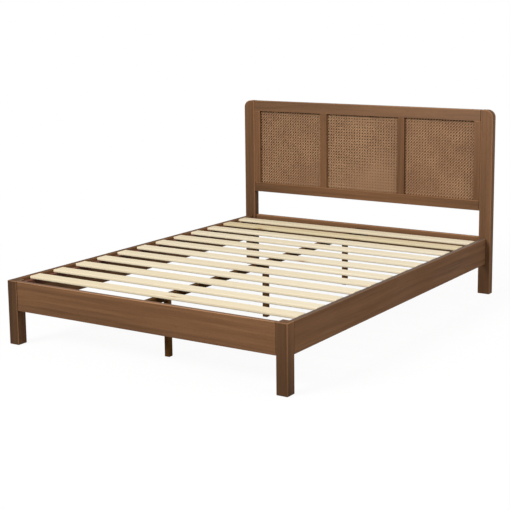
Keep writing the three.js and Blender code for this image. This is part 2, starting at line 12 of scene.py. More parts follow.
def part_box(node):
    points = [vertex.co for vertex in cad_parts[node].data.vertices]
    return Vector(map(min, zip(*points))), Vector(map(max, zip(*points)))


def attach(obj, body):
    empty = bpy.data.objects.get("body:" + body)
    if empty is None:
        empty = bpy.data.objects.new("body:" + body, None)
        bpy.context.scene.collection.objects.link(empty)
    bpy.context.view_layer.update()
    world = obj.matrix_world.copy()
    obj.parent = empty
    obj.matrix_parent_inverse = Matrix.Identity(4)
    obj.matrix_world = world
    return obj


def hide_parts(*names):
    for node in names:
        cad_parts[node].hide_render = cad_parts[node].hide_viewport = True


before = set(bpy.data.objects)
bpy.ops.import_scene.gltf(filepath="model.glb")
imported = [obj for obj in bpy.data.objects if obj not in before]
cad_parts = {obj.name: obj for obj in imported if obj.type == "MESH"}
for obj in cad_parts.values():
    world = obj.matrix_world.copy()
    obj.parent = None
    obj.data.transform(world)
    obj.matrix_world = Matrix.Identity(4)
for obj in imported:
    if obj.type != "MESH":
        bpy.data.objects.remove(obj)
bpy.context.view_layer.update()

# Lengths are in metres and angles in radians, if nothing else is said

# Camera, solved from the posts, rails and headboard corners
CAMERA_PLACE = (3.3098, -5.1326, 1.6020)
CAMERA_YAW = 0.564820
CAMERA_PITCH = 0.163133
CAMERA_ROLL = -0.008233
CAMERA_LENS = 84.364        # millimetres, and so is the sensor
CAMERA_SENSOR = 36.0
CAMERA_SHIFT = (-0.04, -0.10)

# Fits
GAP = 0.0003                # between two pieces that meet
CUT_PAST = 0.002            # a cut runs this far past the face it opens
CUT_MERGE = 1e-6            # a ring of edges joins points nearer than this

# Boards
EDGE_EASE = 0.003           # rounded edges of posts and rails
THIN_EASE = 0.0015          # rounded edges of stiles, mullions, ledgers, beam
SLAT_EASE = 0.005           # rounded edges of the slats
LEG_EASE = 0.002            # rounded edges of the centre legs
EASE_SEGMENTS = 4           # facets in a rounded edge
CORNER_RADIUS = 0.042       # outer top corner of the head posts
CORNER_SEGMENTS = 28        # facets round that corner
GROOVE_DEPTH = 0.008        # panel groove round each window
# Seams are dark bands at board ends: stain in the joint and painted shade of the gap
SEAM_REACH = 0.0035         # part of a rail's end that shows as a seam
FOOT_SEAM_REACH = 0.006     # the same at the foot rail
STILE_SEAM_REACH = 0.0018   # the same down the side of the right stile
SLATS = 12
WOOD_SHARP = math.radians(40)
STEEL_SHARP = math.radians(32)

# Where a board lies in its tree: farthest start along the grain, and how far its middle is from
# the pith, to the side and in depth
GRAIN_START = 40
PITH_SIDE = (0.02, 0.09)
PITH_DEPTH = (0.07, 0.16)

# Patterns of the materials: scale along and across the grain or along the object's axes, detail,
# roughness, and the noise values that become 0 and 1
WOOD_STREAKS = ((1.7, 62.0, 62.0), 4.0, 0.6, 0.32, 0.68)
WOOD_FIBRES = ((11.0, 620.0, 620.0), 3.0, 0.6, 0.3, 0.7)
WOOD_PORES = ((60.0, 1500.0, 1500.0), 1.0, 0.5, 0.60, 0.70)
WOOD_BLOTCHES = ((3.1, 9.0, 9.0), 3.0, 0.55, 0.3, 0.7)
CANE_FIBRES = ((35.0, 1700.0, 900.0), 3.0, 0.6, 0.3, 0.7)
CANE_BANDS = ((17.0, 40.0, 900.0), 2.0, 0.5, 0.3, 0.7)
CANE_PATCHES = ((7.0, 7.0, 7.0), 3.0, 0.6, 0.32, 0.68)
STEEL_CLOUDS = ((90.0, 90.0, 90.0), 4.0, 0.6, 0.3, 0.7)
STEEL_SCRATCHES = ((400.0, 900.0, 2600.0), 3.0, 0.7, 0.3, 0.7)

NODE_COLUMNS = 8            # how a node graph is laid out in its editor
NODE_STEP = (220, 320)

RING_WAVES = (1.1, 6.0, 6.0)        # scale of the slow waves that bend the growth rings
RING_SWAY = (0.0, 0.05, 0.05)       # how far the waves bend them
RING_ALONG = 0.8            # how fast the rings change along the board
RING_NOISE = (0.34, 0.66)   # the noise values that become 0 and 1
BLOTCH_SHARE = 0.45         # most of the stain colour that a blotch takes
SEAM_STAIN_AND_SHADE_SHARE = 0.8            # how near a seam comes to the seam colour
WEAR_PLUS_LIGHT_SPREAD = (0.6, 1.2)         # how much the streaks vary the lighter rounded edges: wear and a painted highlight
UNDERSIDE_SHADE = 2.0             # how much darker the rounding is underneath: painted shade
TURNED = 0.9                # a normal this far along y counts as all turned
WOOD_HEIGHT = (0.5, 0.35, 0.9)      # fibres and streaks stand up, pores are holes
WOOD_ROUGH = (-0.06, 0.04)  # what blotches add to the roughness, least and most
FIBRE_ROUGH = 0.10          # what fibres add to it
WOOD_BUMP = 0.0004
CANE_SHADE = (0.30, 0.30, 0.24)     # how far fibres, bands and patches darken a strand
BLUSH_SHARE = 0.22          # how near a patch comes to the blush colour
CANE_ROUGH = (0.36, 0.52)   # between the fibres and on them
CANE_BUMP = 0.00015
STEEL_ROUGH = (0.26, 0.42)  # in the bright clouds and in the dull ones
SCRATCH_ROUGH = 0.08        # what scratches add to it
STEEL_BUMP = 0.0001
HALO_SHARE = 0.35           # how near the ring round a knot comes to the knot's colour
HEART_SHARE = 0.75          # the same in the knot
HEART_SIZE = 0.35           # part of the knot that is darkest

# Cane webbing
PITCH_X = 0.01745           # one hole to the next across the panel
PITCH_Z = 0.01670           # one hole to the next up the panel
PAIR_SPACE = 0.0035         # middle to middle of the two strands in a pair
STRAND_WIDTH = 0.0024       # upright and level strands
DIAGONAL_WIDTH = 0.0032     # slanting strands
STRAND_THICKNESS = 0.0008
STRAND_SECTION = ((-0.5, -0.45), (-0.27, 0.5), (0.27, 0.5), (0.5, -0.45))
WEAVE_RISE = 0.00042        # strand over or under another at a crossing
WEAVE_DEPTH = 0.00125       # middle of the weave in front of the back of the net
DIAGONAL_HOLD = 0.17        # part of a pitch that a slanting strand stays up or down
DIAGONAL_LINES = 80         # slanting lines tried on each side of the middle
SQUARE_TONE = -0.28         # upright and level strands, darker than the slanting ones
RISING_TONE = 0.50          # strands that slant up to the right
FALLING_TONE = 0.08         # strands that slant down to the right
SQUARE_CHANCE = 0.10        # most that one strand's tone strays
DIAGONAL_CHANCE = 0.08
STRAND_START = 50           # farthest start of a strand in the cane pattern
# The lowest row of each window is lighter: painted light
LAST_ROW = 0.010            # height of the lighter row along the bottom of each window
LAST_ROW_LIGHT = 0.30
# Each panel: brightness of the front of the board behind it, whose darkness is painted shade
# for the holes of the cane, tone of its strands, rise of the slanting strands over a pair and
# under one, and the slope across the width of those that run up and down to the right, where the
# pairs tip them
PANELS = {
    "left": {"front": 0.70, "tone": -0.12, "rise": (0.00065, -0.00038), "lean": (0.50, 0.50)},
    "centre": {"front": 0.515, "tone": -0.01, "rise": (0.00090, -0.00060), "lean": (0.38, 0.0)},
    "right": {"front": 1.0, "tone": -0.13, "rise": (0.00065, -0.00038), "lean": (0.50, 0.50)},
}

# Steel hardware
BOLT = {
    "radius": 0.004, "head_radius": 0.007, "head_height": 0.006,
    "socket": 0.0034, "socket_depth": 0.0035,
}
LEG_BOLT = {
    "radius": 0.003, "head_radius": 0.0055, "head_height": 0.004,
    "socket": 0.0024, "socket_depth": 0.0025,
}
BOLT_CHAMFER = 0.1          # rounding of a bolt head, as a part of its radius
COUNTERBORE_PLAY = 0.001
COUNTERBORE_DEPTH = 0.008
BARREL_RADIUS = 0.006
BARREL_RIM = 0.08           # rounding of a barrel nut's ends, as a part of its radius
NUT_SLOT_WIDTH = 0.0012     # screwdriver slot in the end that shows
NUT_SLOT_DEPTH = 0.0015
NUT_SLOT_PAST = 0.001
NUT_CUT_REACH = 0.008       # a cut runs this far to each side of the nut's middle
ROUND_SIDES = 40
HANGER_STEEL = 0.0025
BRACKET_STEEL = 0.003
BRACKET_SCREWS = (0.026, 0.048)     # screws in an angle, from its foot end
LEDGER_SCREWS = 6
LEDGER_SCREW_SPACE = 0.09   # each screw beyond the middle of its slat
END_SCREW_INSET = 0.008     # screw on top of the ledger, from its inner face
END_SCREW_PLACE = 0.022     # and from the ledger's foot end
SCREW_HEAD = 0.004
SCREW_DOME = 0.0011
SCREW_SIDES = 24
SCREW_PROFILE = (
    (0, -0.016), (0.0012, -0.013), (0.0018, -0.0042), (SCREW_HEAD * 0.94, -0.0006),
    (SCREW_HEAD, 0.0), (SCREW_HEAD * 0.8, SCREW_DOME * 0.55), (SCREW_HEAD * 0.45, SCREW_DOME * 0.9),
    (0, SCREW_DOME),
)
CROSS_REACH = SCREW_HEAD * 0.62     # cross recess of a screw
CROSS_WIDTH = 0.0009
CROSS_DEPTH = 0.0006
CROSS_TOP = 0.003

# Studio
LIGHTS = {
    "key": {"place": (-3.4, -9.2, 7.0), "target": (0, 0, 0.4), "size": 5.4, "power": 1120},
    "fill": {"place": (5.0, -1.0, 2.8), "target": (0, 0, 0.4), "size": 3.0, "power": 80},
    "back": {"place": (-1.5, 8.5, 1.0), "target": (0, 1.0, 0.6), "size": 1.6, "power": 130},
}
SKY_COLOUR = (1.0, 0.985, 0.96, 1.0)
SKY_STRENGTH = 0.48
WHITE = (1.0, 1.0, 1.0, 1.0)
FLOOR_COLOUR = (0.95, 0.95, 0.95, 1.0)
FLOOR_BOUNCE = (0.16, 0.16, 0.16, 1.0)  # floor colour for light that bounces from it
FLOOR_REACH = 40.0
FLOOR_DROP = 0.0005         # floor below the feet
SHADOW_SHARE = 0.08         # part of the seen floor that takes light and shade
SHADOW_SHAPE = (1.0, 0.8, 0.0)      # the bed is longer along y, so distance counts less there
SHADOW_FADE = (0.9, 2.6)    # distances where the shade starts to fade and is gone

chance = random.Random(27)


# Materials

def srgb(red, green, blue):
    """Colour as it looks on a screen, 0 to 255, as the linear colour that a shader takes."""
    def linear(value):
        value /= 255
        return value / 12.92 if value <= 0.04045 else ((value + 0.055) / 1.055) ** 2.4
    return (linear(red), linear(green), linear(blue), 1.0)


# Painted sheen: the pale colour of a painted reflection on the wood's finish
PAINTED_SHEEN_COLOUR = srgb(236, 222, 208)
SEAM_STAIN_AND_SHADE_COLOUR = srgb(44, 28, 19)
CANE_LIGHT = srgb(210, 166, 124)
CANE_DARK = srgb(119, 84, 57)
CANE_BLUSH = srgb(150, 104, 78)


class Graph:
    """Node graph of one material or of the world, which owns it."""

    def __init__(self, owner):
        self.owner = owner
        owner.use_nodes = True
        self.tree = owner.node_tree
        self.tree.nodes.clear()

    def node(self, kind, inputs=None, **settings):
        made = self.tree.nodes.new(kind)
        row, column = divmod(len(self.tree.nodes) - 1, NODE_COLUMNS)
        made.location = (column * NODE_STEP[0], -row * NODE_STEP[1])
        for key, value in settings.items():
            setattr(made, key, value)
        for key, value in (inputs or {}).items():
            self.feed(made.inputs[key], value)
        return made

    def feed(self, socket, value):
        if isinstance(value, bpy.types.NodeSocket):
            self.tree.links.new(value, socket)
        else:
            socket.default_value = value

    def math(self, operation, a, b, clamp=False):
        made = self.node("ShaderNodeMath", {0: a, 1: b}, operation=operation, use_clamp=clamp)
        return made.outputs[0]

    def vector(self, operation, a, b=(0.0, 0.0, 0.0)):
        made = self.node("ShaderNodeVectorMath", {0: a, 1: b}, operation=operation)
        return made.outputs["Value" if operation == "LENGTH" else "Vector"]

    def scale(self, vector, by):
        made = self.node("ShaderNodeVectorMath", {0: vector, "Scale": by}, operation="SCALE")
        return made.outputs[0]

    def split(self, vector, axis):
        return self.node("ShaderNodeSeparateXYZ", {0: vector}).outputs[axis]

    def noise(self, where, detail, rough, colour=False):
        made = self.node("ShaderNodeTexNoise", {
            "Vector": where, "Scale": 1.0, "Detail": detail, "Roughness": rough,
        })
        return made.outputs["Color" if colour else "Fac"]

    def spread(self, value, low, high, to_low=0.0, to_high=1.0, **settings):
        made = self.node("ShaderNodeMapRange", {
            "Value": value, "From Min": low, "From Max": high, "To Min": to_low, "To Max": to_high,
        }, **settings)
        return made.outputs[0]

    def pattern(self, where, scale, detail, rough, low, high):
        """Noise stretched by a scale, with its values from low to high spread over 0 to 1."""
        noise = self.noise(self.vector("MULTIPLY", where, scale), detail, rough)
        return self.spread(noise, low, high)

    def mix(self, share, a, b, blend="MIX"):
        inputs = {0: share, 6: a, 7: b}
        return self.node("ShaderNodeMix", inputs, data_type="RGBA", blend_type=blend).outputs[2]

    def attribute(self, name, output="Fac"):
        return self.node("ShaderNodeAttribute", attribute_name=name).outputs[output]

    def place(self):
        return self.node("ShaderNodeTexCoord").outputs["Object"]

    def seen(self, rays):
        """1 for rays of the kinds named, 0 for all others."""
        kinds = self.node("ShaderNodeLightPath").outputs
        seen = kinds[rays[0]]
        for ray in rays[1:]:
            seen = self.math("ADD", seen, kinds[ray], clamp=True)
        return seen

    def bump(self, height, strength, distance):
        made = self.node("ShaderNodeBump", {
            "Height": height, "Strength": strength, "Distance": distance,
        })
        return made.outputs["Normal"]

    def choose(self, share, first, second):
        """Shader between two others: the first at share 0, the second at 1."""
        return self.node("ShaderNodeMixShader", {
            0: share, 1: first.outputs[0], 2: second.outputs[0],
        })

    def end(self, shader, kind="ShaderNodeOutputMaterial"):
        """Ends the graph in a shader and gives its owner."""
        self.node(kind, {"Surface": shader.outputs[0]})
        return self.owner


def wood(name, light, dark, stain, rings=0.45, streaks=0.35, fibres=0.20, pores=0.35,
         ring_space=0.022, edge_wear_and_painted_light=0.9, tilt=(1.0, 1.0, 1.0), rough=0.60, relief=0.35, specular=0.10,
         knots=None, own_grain=True, axes=(0, 1, 2), front=1.0):
    """Wood whose grain runs along x of the grain attribute, or of the object's own axes.

    edge_wear_and_painted_light is how much lighter the rounded edges are, from wear and a
    painted highlight, and darker where it is below 0: painted shade. tilt is how far each colour
    follows the tone of a piece. front is how bright a board without grain of its own
    is on the side that faces the foot of the bed, with the other side at 1: painted shade for
    the holes of the cane in front of it."""
    g = Graph(bpy.data.materials.new(name))
    if own_grain:
        grain = g.attribute("grain", "Vector")
    else:
        place = g.node("ShaderNodeTexCoord")
        parts = g.node("ShaderNodeSeparateXYZ", {0: place.outputs["Object"]}).outputs
        grain = g.node("ShaderNodeCombineXYZ", {i: parts[a] for i, a in enumerate(axes)}).outputs[0]

    # Growth rings round a far pith: uneven bands, bent by slow waves along the board
    slow = g.noise(g.vector("MULTIPLY", grain, RING_WAVES), 2.0, 0.5, colour=True)
    sway = g.vector("MULTIPLY", g.vector("SUBTRACT", slow, (0.5, 0.5, 0.5)), RING_SWAY)
    across = g.vector("MULTIPLY", grain, (0.0, 1.0, 1.0))
    reach = g.vector("LENGTH", g.vector("ADD", across, sway))
    along = g.split(grain, "X")
    ring_place = g.node("ShaderNodeCombineXYZ", {
        "X": g.math("DIVIDE", reach, ring_space), "Y": g.math("MULTIPLY", along, RING_ALONG),
    }).outputs[0]
    ring = g.spread(g.noise(ring_place, 3.0, 0.6), *RING_NOISE)

    streak = g.pattern(grain, *WOOD_STREAKS)
    fibre = g.pattern(grain, *WOOD_FIBRES)
    hole = g.pattern(grain, *WOOD_PORES)
    blotch = g.pattern(grain, *WOOD_BLOTCHES)

    depth = g.math("ADD", g.math("MULTIPLY", ring, rings), g.math("MULTIPLY", streak, streaks))
    depth = g.math("ADD", depth, g.math("MULTIPLY", fibre, fibres), clamp=True)
    colour = g.mix(depth, light, dark)
    colour = g.mix(g.math("MULTIPLY", blotch, BLOTCH_SHARE), colour, stain)
    if knots:
        colour = add_knots(g, grain, colour, knots)
    colour = g.mix(g.math("MULTIPLY", hole, pores), colour, dark, "MULTIPLY")
    if own_grain:
        # Rounded edges lighter from wear and a painted highlight, varied by the streaks
        uneven = g.spread(streak, 0.0, 1.0, *(edge_wear_and_painted_light * share for share in WEAR_PLUS_LIGHT_SPREAD))
        wear_plus_painted_light = g.math("MULTIPLY", g.attribute("edge"), uneven)
        # The tone holds the piece's own tone and painted light and shade
        bright = g.vector("ADD", g.scale(tilt, g.attribute("tone")), (1.0, 1.0, 1.0))
        colour = g.scale(g.vector("MULTIPLY", colour, bright), g.math("ADD", wear_plus_painted_light, 1.0))
        # Painted sheen: a painted reflection that makes the wood lighter and greyer
        colour = g.mix(g.attribute("painted_sheen"), colour, PAINTED_SHEEN_COLOUR)
        # Dark seams: stain in the joint and painted shade of the gap
        colour = g.mix(g.math("MULTIPLY", g.attribute("seam"), SEAM_STAIN_AND_SHADE_SHARE), colour, SEAM_STAIN_AND_SHADE_COLOUR)
    else:
        # The side facing the foot of the bed is darker: painted shade for the holes of the cane
        turned_back = g.split(place.outputs["Normal"], "Y")
        colour = g.scale(colour, g.spread(turned_back, -TURNED, TURNED, front, 1.0))

    parts = zip((fibre, streak, hole), WOOD_HEIGHT)
    fibre_height, streak_height, pore_depth = (g.math("MULTIPLY", p, most) for p, most in parts)
    height = g.math("SUBTRACT", g.math("ADD", fibre_height, streak_height), pore_depth)
    gloss = g.spread(blotch, 0.0, 1.0, *(rough + more for more in WOOD_ROUGH))
    return g.end(g.node("ShaderNodeBsdfPrincipled", {
        "Base Color": colour,
        "Roughness": g.math("ADD", g.math("MULTIPLY", fibre, FIBRE_ROUGH), gloss),
        "Normal": g.bump(height, relief, WOOD_BUMP),
        "Specular IOR Level": specular,
    }))


def add_knots(g, grain, colour, knots):
    """Sparse oval knots with a darker rim, at random places along the boards."""
    cell = g.node("ShaderNodeTexVoronoi", {
        "Vector": g.vector("MULTIPLY", grain, knots["cell"]), "Scale": 1.0, "Randomness": 1.0,
    })
    near = cell.outputs["Distance"]
    halo = g.spread(near, knots["halo"], knots["size"])
    heart = g.spread(near, knots["size"], knots["size"] * HEART_SIZE)
    colour = g.mix(g.math("MULTIPLY", halo, HALO_SHARE), colour, knots["colour"])
    return g.mix(g.math("MULTIPLY", heart, HEART_SHARE), colour, knots["colour"])


def cane(name):
    """Split cane: glossy skin with fine lengthwise fibres, each strand a little different."""
    g = Graph(bpy.data.materials.new(name))
    along = g.attribute("grain", "Vector")
    fibres = g.pattern(along, *CANE_FIBRES)
    bands = g.pattern(along, *CANE_BANDS)
    patches = g.pattern(g.place(), *CANE_PATCHES)
    shade = 0.0
    for part, most in zip((fibres, bands, patches), CANE_SHADE):
        shade = g.math("ADD", shade, g.math("MULTIPLY", part, most))
    shade = g.math("SUBTRACT", shade, g.attribute("tone"), clamp=True)
    colour = g.mix(shade, CANE_LIGHT, CANE_DARK)
    return g.end(g.node("ShaderNodeBsdfPrincipled", {
        "Base Color": g.mix(g.math("MULTIPLY", patches, BLUSH_SHARE), colour, CANE_BLUSH),
        "Roughness": g.spread(fibres, 0.0, 1.0, *CANE_ROUGH),
        "Normal": g.bump(fibres, 0.4, CANE_BUMP),
        "Specular IOR Level": 0.4,
    }))


def steel(name, light, dark, metallic):
    """Plated or blackened steel: cloudy crystals, light scratches and duller patches."""
    g = Graph(bpy.data.materials.new(name))
    place = g.place()
    cloud = g.pattern(place, *STEEL_CLOUDS)
    scratch = g.pattern(place, *STEEL_SCRATCHES)
    dull = g.spread(cloud, 0.0, 1.0, *STEEL_ROUGH)
    return g.end(g.node("ShaderNodeBsdfPrincipled", {
        "Base Color": g.mix(cloud, light, dark),
        "Metallic": metallic,
        "Roughness": g.math("ADD", dull, g.math("MULTIPLY", scratch, SCRATCH_ROUGH)),
        "Normal": g.bump(scratch, 0.15, STEEL_BUMP),
    }))


walnut = wood("walnut_stain", srgb(148, 107, 73), srgb(98, 67, 44), srgb(123, 87, 59))
ledger_wood = wood(
    "ledger_stain", srgb(122, 78, 60), srgb(92, 56, 42), srgb(110, 68, 53), edge_wear_and_painted_light=0.4,
)
backing_wood = {
    label: wood(
        "backing_stain_shaded_front_" + label, srgb(112, 80, 56), srgb(84, 58, 40), srgb(99, 70, 49),
        own_grain=False, axes=(2, 0, 1), front=panel["front"],
    )
    for label, panel in PANELS.items()
}
# The slats' rounded edges are darker: painted shade
slat_wood = wood(
    "slat_wood", srgb(246, 237, 214), srgb(233, 217, 186), srgb(241, 228, 202), edge_wear_and_painted_light=-0.10,
    rings=0.30, streaks=0.40, fibres=0.2, pores=0.10, ring_space=0.016, tilt=(1.0, 1.3, 2.1),
    rough=0.62, relief=0.3,
    knots={"cell": (1.9, 9.0, 9.0), "size": 0.045, "halo": 0.11, "colour": srgb(176, 132, 88)},
)
beam_wood = wood(
    "beam_wood", srgb(98, 66, 34), srgb(71, 47, 24), srgb(83, 56, 29), edge_wear_and_painted_light=0.1, specular=0.03,
)
leg_wood = wood(
    "leg_wood", srgb(127, 86, 43), srgb(92, 61, 30), srgb(108, 73, 37), edge_wear_and_painted_light=0.1, specular=0.03,
)
cane_skin = cane("cane_skin")
zinc = steel("zinc_steel", srgb(186, 188, 190), srgb(150, 152, 155), metallic=1.0)
black_steel = steel("black_steel", srgb(58, 50, 44), srgb(40, 34, 30), metallic=0.4)


# Making and cutting shapes

def add_object(name, data):
    made = bpy.data.objects.new(name, data)
    bpy.context.scene.collection.objects.link(made)
    return made


def finish_mesh(name, bm, material):
    """Object with one material from a bmesh, which is used up."""
    mesh = bpy.data.meshes.new(name)
    bm.to_mesh(mesh)
    bm.free()
    mesh.materials.append(material)
    return add_object(name, mesh)


def block(low, high, ease=0.0):
    """Box between two corners. With an ease its edges are rounded, as soften says."""
    bm = bmesh.new()
    bmesh.ops.create_cube(bm, size=1.0)
    size = Vector(high) - Vector(low)
    middle = (Vector(high) + Vector(low)) / 2
    place = Matrix.Translation(middle) @ Matrix.Diagonal((*size, 1.0))
    bmesh.ops.transform(bm, matrix=place, verts=bm.verts)
    if ease:
        soften(bm, bm.edges[:], ease)
    return bm


def soften(bm, edges, ease):
    """Rounds edges. The face layer edge marks the rounding."""
    layer = bm.faces.layers.float.new("edge")
    rounded = bmesh.ops.bevel(
        bm, geom=edges, offset=ease, offset_type="OFFSET", segments=EASE_SEGMENTS, profile=0.5,
        affect="EDGES", clamp_overlap=True,
    )
    for face in rounded["faces"]:
        face[layer] = 1.0


def aimed(direction):
    """Turn that takes z to a direction."""
    return Vector(direction).to_track_quat("Z", "Y").to_matrix().to_4x4()


def cylinder(start, end, radius, sides=ROUND_SIDES):
    """Rod from start to end, for cutting."""
    bm = bmesh.new()
    axis = Vector(end) - Vector(start)
    middle = Matrix.Translation((Vector(start) + Vector(end)) / 2)
    bmesh.ops.create_cone(
        bm, cap_ends=True, segments=sides, radius1=radius, radius2=radius, depth=axis.length,
        matrix=middle @ aimed(axis),
    )
    return bm


def bore(place, axis, start, end, radius):
    """Rod through a place, between two stations along x, y or z, for cutting a round hole."""
    first, last = list(place), list(place)
    first["xyz".index(axis)] = start
    last["xyz".index(axis)] = end
    return cylinder(first, last, radius)


def split(bm, axis, at):
    """Cuts a ring of edges across a board at one place along an axis."""
    way = Vector([float(name == axis) for name in "xyz"])
    parts = bm.verts[:] + bm.edges[:] + bm.faces[:]
    bmesh.ops.bisect_plane(bm, geom=parts, dist=CUT_MERGE, plane_co=way * at, plane_no=way)


def cut(piece, cutters):
    """Takes each cutter's form away from the piece."""
    for bm in cutters:
        tool = finish_mesh("cutter", bm, piece.data.materials[0])
        change = piece.modifiers.new("cut", "BOOLEAN")
        change.operation = "DIFFERENCE"
        change.solver = "EXACT"
        change.object = tool
        apply_modifiers(piece)
        bpy.data.objects.remove(tool)


def apply_modifiers(piece):
    graph = bpy.context.evaluated_depsgraph_get()
    made = bpy.data.meshes.new_from_object(
        piece.evaluated_get(graph), preserve_all_data_layers=True, depsgraph=graph,
    )
    old = piece.data
    name = old.name
    piece.modifiers.clear()
    piece.data = made
    bpy.data.meshes.remove(old)
    made.name = name


def middle_of(node):
    low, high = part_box(node)
    return (low + high) / 2


def settle(piece, slot, *nodes):
    """Rides the piece on the frame in place of the CAD nodes named."""
    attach(piece, "root")
    if nodes:
        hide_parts(*nodes)
    return piece


# Pieces of wood

def values_of(items, name, width=1, kind=float):
    """One value of all vertices, corners or faces of a mesh, as an array."""
    values = np.empty(len(items) * width, dtype=kind)
    items.foreach_get(name, values)
    return values.reshape(-1, width) if width > 1 else values


def span_of(mesh, order=(0, 1, 2)):
    """Vertex places with their axes in the order given, and their lowest and highest corners."""
    places = values_of(mesh.vertices, "co", 3)[:, order]
    return places, places.min(axis=0), places.max(axis=0)


def dress(piece, axis, look):
    """Smooth shading, and the grain, tone, painted sheen, edge and seam attributes that wood
    reads. The tone, edge and seam also hold painted light and shade. look holds what LOOKS
    describes."""
    mesh = piece.data
    order = {"x": (0, 1, 2), "y": (1, 0, 2), "z": (2, 0, 1)}[axis]
    places, low, high = span_of(mesh, order)
    pith = (
        chance.uniform(0, GRAIN_START),
        chance.choice((-1, 1)) * chance.uniform(*PITH_SIDE),
        chance.uniform(*PITH_DEPTH),
    )
    grain = mesh.attributes.new("grain", "FLOAT_VECTOR", "POINT")
    grain.data.foreach_set("vector", (places - (low + high) / 2 + np.array(pith)).ravel())

    normals = values_of(mesh.polygons, "normal", 3)
    sizes = values_of(mesh.polygons, "loop_total", kind=np.int64)
    corner_normal = np.repeat(normals, sizes, axis=0)
    corner_vertex = values_of(mesh.loops, "vertex_index", kind=np.int64)
    share = ((places - low) / (high - low))[corner_vertex]
    along = share[:, 0]
    up = share[:, order.index(2)]
    low_tone, low_sheen = look.get("low", (0.0, 0.0))
    high_tone, high_sheen = look.get("high", (0.0, 0.0))
    # Tone along the grain, up the piece, mid-board and by face: own tone and painted light and
    # shade
    tone = low_tone + (high_tone - low_tone) * along + look.get("lift", 0.0) * (up - 0.5)
    tone += look.get("swell", 0.0) * (1 - abs(2 * along - 1))
    painted_sheen = low_sheen + (high_sheen - low_sheen) * along
    for direction, (more_low, more_high, more_sheen) in look.get("facing", {}).items():
        turned_to = np.clip(corner_normal @ np.array(direction), 0, 1)
        tone += (more_low + (more_high - more_low) * along) * turned_to
        painted_sheen += more_sheen * turned_to
    for name, values in (("tone", tone), ("painted_sheen", painted_sheen)):
        mesh.attributes.new(name, "FLOAT", "CORNER").data.foreach_set("value", values)

    for name in ("edge", "seam"):
        if name not in mesh.attributes:
            mesh.attributes.new(name, "FLOAT", "FACE")
    # Rounded edges lighter from wear and a painted highlight
    wear_plus_painted_light = values_of(mesh.attributes["edge"].data, "value")
    # Rounding that faces down is darker: painted shade
    wear_plus_painted_light *= look.get("edge_wear_and_painted_light", 1.0) * (1 - UNDERSIDE_SHADE * np.clip(-normals[:, 2], 0, 1))
    mesh.attributes["edge"].data.foreach_set("value", wear_plus_painted_light)
    sharp = mesh.attributes.get("sharp_face")
    if sharp:
        mesh.attributes.remove(sharp)
    mesh.shade_smooth()
    mesh.set_sharp_from_angle(angle=WOOD_SHARP)
    weigh = piece.modifiers.new("weigh", "WEIGHTED_NORMAL")
    weigh.weight = 100
    weigh.keep_sharp = True


def mark_ends(mesh, axis, seams=(), wear_plus_painted_light=0.0, reach=SEAM_REACH):
    """Marks the ends of a board where they stand against another: dark seams at the ends named
    low and high, stain in the joint and painted shade of the gap, and how light the rounding
    is at both ends, from wear and a painted highlight."""
    index = "xyz".index(axis)
    low, high = (corner[index] for corner in span_of(mesh)[1:])
    bm = bmesh.new()
    bm.from_mesh(mesh)
    for at in (low + reach, high - reach):
        split(bm, axis, at)
    edge = bm.faces.layers.float["edge"]
    seam = bm.faces.layers.float.get("seam") or bm.faces.layers.float.new("seam")
    for face in bm.faces:
        at = face.calc_center_bounds()[index]
        if low + reach < at < high - reach:
            continue
        face[edge] = min(face[edge], 1.0) * wear_plus_painted_light
        if ("low" if at < 0.5 * (low + high) else "high") in seams:
            face[seam] = 1.0
    bm.to_mesh(mesh)
    bm.free()


def board(node, axis, ease, material, slot, look=None, box=None, cutters=(), ends=()):
    """Board that stands for a CAD node, with finely rounded edges. Its grain runs along the axis,
    box holds two corners other than the node's, and ends holds what mark_ends takes."""
    look = look or {}
    bm = block(*(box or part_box(node)), ease)
    if "swell" in look:
        split(bm, axis, getattr(middle_of(node), axis))
    piece = finish_mesh(node + "_board", bm, material)
    cut(piece, cutters)
    for marks in ends:
        mark_ends(piece.data, **marks)
    dress(piece, axis, look)
    return settle(piece, slot, node)


def head_post(side, cutters, look):
    """Head post with its rounded outer top corner."""
    node = "head_post_" + side
    low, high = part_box(node)
    sign = 1 if side == "right" else -1
    outer = high.x if sign > 0 else low.x
    inner = low.x if sign > 0 else high.x
    outline = [(inner, low.z), (outer, low.z)]
    for step in range(CORNER_SEGMENTS + 1):
        angle = math.pi / 2 * step / CORNER_SEGMENTS
        x = outer - sign * CORNER_RADIUS * (1 - math.cos(angle))
        z = high.z - CORNER_RADIUS * (1 - math.sin(angle))
        outline.append((x, z))
    outline.append((inner, high.z))
    bm = bmesh.new()
    face = bm.faces.new([bm.verts.new((x, low.y, z)) for x, z in outline])
    pushed = bmesh.ops.extrude_face_region(bm, geom=[face])
    moved = [v for v in pushed["geom"] if isinstance(v, bmesh.types.BMVert)]
    bmesh.ops.translate(bm, vec=(0, high.y - low.y, 0), verts=moved)
    bmesh.ops.recalc_face_normals(bm, faces=bm.faces)
    soften(bm, [e for e in bm.edges if e.calc_face_angle(0) > WOOD_SHARP], EDGE_EASE)
    piece = finish_mesh(node + "_board", bm, walnut)
    cut(piece, cutters)
    dress(piece, "z", look)
    return settle(piece, "walnut", node)


def groove(low, high, axis, end):
    """Cutter for the panel groove in the face at the low or high end of a board along an axis."""
    start = [low.x - CUT_PAST, groove_y[0], low.z - CUT_PAST]
    stop = [high.x + CUT_PAST, groove_y[1], high.z + CUT_PAST]
    index = "xyz".index(axis)
    if end == "low":
        stop[index] = low[index] + GROOVE_DEPTH
    else:
        start[index] = high[index] - GROOVE_DEPTH
    return block(start, stop)
